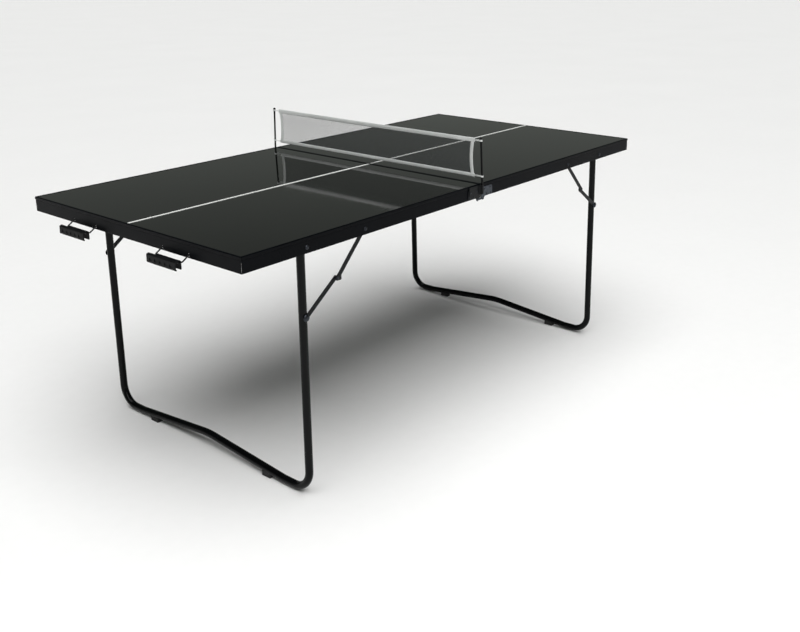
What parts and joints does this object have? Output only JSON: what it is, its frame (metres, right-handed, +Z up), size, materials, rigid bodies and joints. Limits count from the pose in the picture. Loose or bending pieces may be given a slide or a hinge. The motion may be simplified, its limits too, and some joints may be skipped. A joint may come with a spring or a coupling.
{
  "type": "folding table tennis table",
  "caption": "Folding table tennis table in two framed halves with U-shaped tube legs, locking knee braces, a net on two posts and carrying bails at its ends.",
  "frame": {"origin": "on the floor under the middle of the table", "axes": "+X along the table towards the end with the bare bails, +Y across to the rear side, +Z up"},
  "size_m": [1.8838, 0.9398, 0.873],
  "materials": {
    "black_aluminium": "black powder-coated extrusion, satin",
    "gloss_board": "fibreboard faced with high-gloss black laminate",
    "white_strip": "white, satin",
    "black_steel": "gloss black paint on steel",
    "dark_zinc": "dark zinc plate",
    "black_plastic": "moulded, fine grain",
    "net_white": "woven tape",
    "net_thread": "knotted net"
  },
  "bodies": {
    "half_a": {"front_rail_a": "black_aluminium", "rear_rail_a": "black_aluminium", "end_rail_a": "black_aluminium", "middle_rail_a": "black_aluminium", "front_board_a": "gloss_board", "rear_board_a": "gloss_board", "centre_strip_a": "white_strip", "leg_pin_front_a": "dark_zinc", "leg_pin_rear_a": "dark_zinc", "brace_rivet_front_a": "dark_zinc", "brace_rivet_rear_a": "dark_zinc", "hinge_bracket_front_a": "black_steel", "hinge_bracket_rear_a": "black_steel"},
    "hinge_links": {"hinge_link_front": "black_steel", "hinge_link_rear": "black_steel"},
    "half_b": {"front_rail_b": "black_aluminium", "rear_rail_b": "black_aluminium", "end_rail_b": "black_aluminium", "middle_rail_b": "black_aluminium", "front_board_b": "gloss_board", "rear_board_b": "gloss_board", "centre_strip_b": "white_strip", "leg_pin_front_b": "dark_zinc", "leg_pin_rear_b": "dark_zinc", "brace_rivet_front_b": "dark_zinc", "brace_rivet_rear_b": "dark_zinc", "hinge_bracket_front_b": "black_steel", "hinge_bracket_rear_b": "black_steel"},
    "leg_a": {"leg_tube_a": "black_steel", "foot_pad_front_a": "black_plastic", "foot_pad_rear_a": "black_plastic", "brace_stud_front_a": "dark_zinc", "brace_stud_rear_a": "dark_zinc"},
    "upper_links_a": {"upper_link_front_a": "black_steel", "upper_link_rear_a": "black_steel", "knee_rivet_front_a": "dark_zinc", "knee_rivet_rear_a": "dark_zinc"},
    "lower_links_a": {"lower_link_front_a": "black_steel", "lower_link_rear_a": "black_steel"},
    "leg_b": {"leg_tube_b": "black_steel", "foot_pad_front_b": "black_plastic", "foot_pad_rear_b": "black_plastic", "brace_stud_front_b": "dark_zinc", "brace_stud_rear_b": "dark_zinc"},
    "upper_links_b": {"upper_link_front_b": "black_steel", "upper_link_rear_b": "black_steel", "knee_rivet_front_b": "dark_zinc", "knee_rivet_rear_b": "dark_zinc"},
    "lower_links_b": {"lower_link_front_b": "black_steel", "lower_link_rear_b": "black_steel"},
    "bail_front_a": {"bail_front_a": "black_steel"},
    "bail_rear_a": {"bail_rear_a": "black_steel"},
    "bail_front_b": {"bail_front_b": "black_steel"},
    "bail_rear_b": {"bail_rear_b": "black_steel"},
    "clip_front": {"clip_front": "black_plastic"},
    "clip_rear": {"clip_rear": "black_plastic"},
    "net_set": {"net_post_front": "black_steel", "net_post_rear": "black_steel", "net_border": "net_white", "net_cloth": "net_thread"}
  },
  "joints": [
    {"name": "middle_hinge_a", "type": "hinge", "parent": "half_a", "child": "hinge_links", "pos_m": [-0.0135, 0, 0.685], "axis": [0, 1, 0], "range_deg": [0, 90]},
    {"name": "middle_hinge_b", "type": "hinge", "parent": "hinge_links", "child": "half_b", "pos_m": [0.0135, 0, 0.685], "axis": [0, 1, 0], "range_deg": [0, 90]},
    {"name": "leg_fold_a", "type": "hinge", "parent": "half_a", "child": "leg_a", "pos_m": [-0.709, 0, 0.705], "axis": [0, -1, 0], "range_deg": [0, 90.6]},
    {"name": "upper_link_fold_a", "type": "hinge", "parent": "half_a", "child": "upper_links_a", "pos_m": [-0.5, 0, 0.705], "axis": [0, 1, 0], "range_deg": [0, 46.71]},
    {"name": "lower_link_fold_a", "type": "hinge", "parent": "leg_a", "child": "lower_links_a", "pos_m": [-0.71099, 0, 0.51501], "axis": [0, -1, 0], "range_deg": [0, 52.78]},
    {"name": "leg_fold_b", "type": "hinge", "parent": "half_b", "child": "leg_b", "pos_m": [0.709, 0, 0.705], "axis": [0, 1, 0], "range_deg": [0, 90.6]},
    {"name": "upper_link_fold_b", "type": "hinge", "parent": "half_b", "child": "upper_links_b", "pos_m": [0.5, 0, 0.705], "axis": [0, -1, 0], "range_deg": [0, 46.71]},
    {"name": "lower_link_fold_b", "type": "hinge", "parent": "leg_b", "child": "lower_links_b", "pos_m": [0.71099, 0, 0.51501], "axis": [0, 1, 0], "range_deg": [0, 52.78]},
    {"name": "bail_swing_front_a", "type": "hinge", "parent": "half_a", "child": "bail_front_a", "pos_m": [-0.91325, -0.203, 0.697], "axis": [0, 1, 0], "range_deg": [0, 45]},
    {"name": "bail_swing_rear_a", "type": "hinge", "parent": "half_a", "child": "bail_rear_a", "pos_m": [-0.91325, 0.203, 0.697], "axis": [0, 1, 0], "range_deg": [0, 45]},
    {"name": "bail_swing_front_b", "type": "hinge", "parent": "half_b", "child": "bail_front_b", "pos_m": [0.91325, -0.203, 0.697], "axis": [0, -1, 0], "range_deg": [0, 45]},
    {"name": "bail_swing_rear_b", "type": "hinge", "parent": "half_b", "child": "bail_rear_b", "pos_m": [0.91325, 0.203, 0.697], "axis": [0, -1, 0], "range_deg": [0, 45]},
    {"name": "clip_turn_front", "type": "hinge", "parent": "bail_front_a", "child": "clip_front", "pos_m": [-0.93589, -0.203, 0.68229], "axis": [0, 1, 0], "range_deg": [-30, 90]},
    {"name": "clip_turn_rear", "type": "hinge", "parent": "bail_rear_a", "child": "clip_rear", "pos_m": [-0.93589, 0.203, 0.68229], "axis": [0, 1, 0], "range_deg": [-30, 90]},
    {"name": "net_lift", "type": "slide", "parent": "half_a", "child": "net_set", "axis": [0, 0, 1], "range_m": [0, 0.06]}
  ],
  "couplings": [
    {"joint": "upper_link_fold_a", "follows": "leg_fold_a", "ratio": 0.51557},
    {"joint": "lower_link_fold_a", "follows": "leg_fold_a", "ratio": 0.58258},
    {"joint": "upper_link_fold_b", "follows": "leg_fold_b", "ratio": 0.51557},
    {"joint": "lower_link_fold_b", "follows": "leg_fold_b", "ratio": 0.58258}
  ]
}
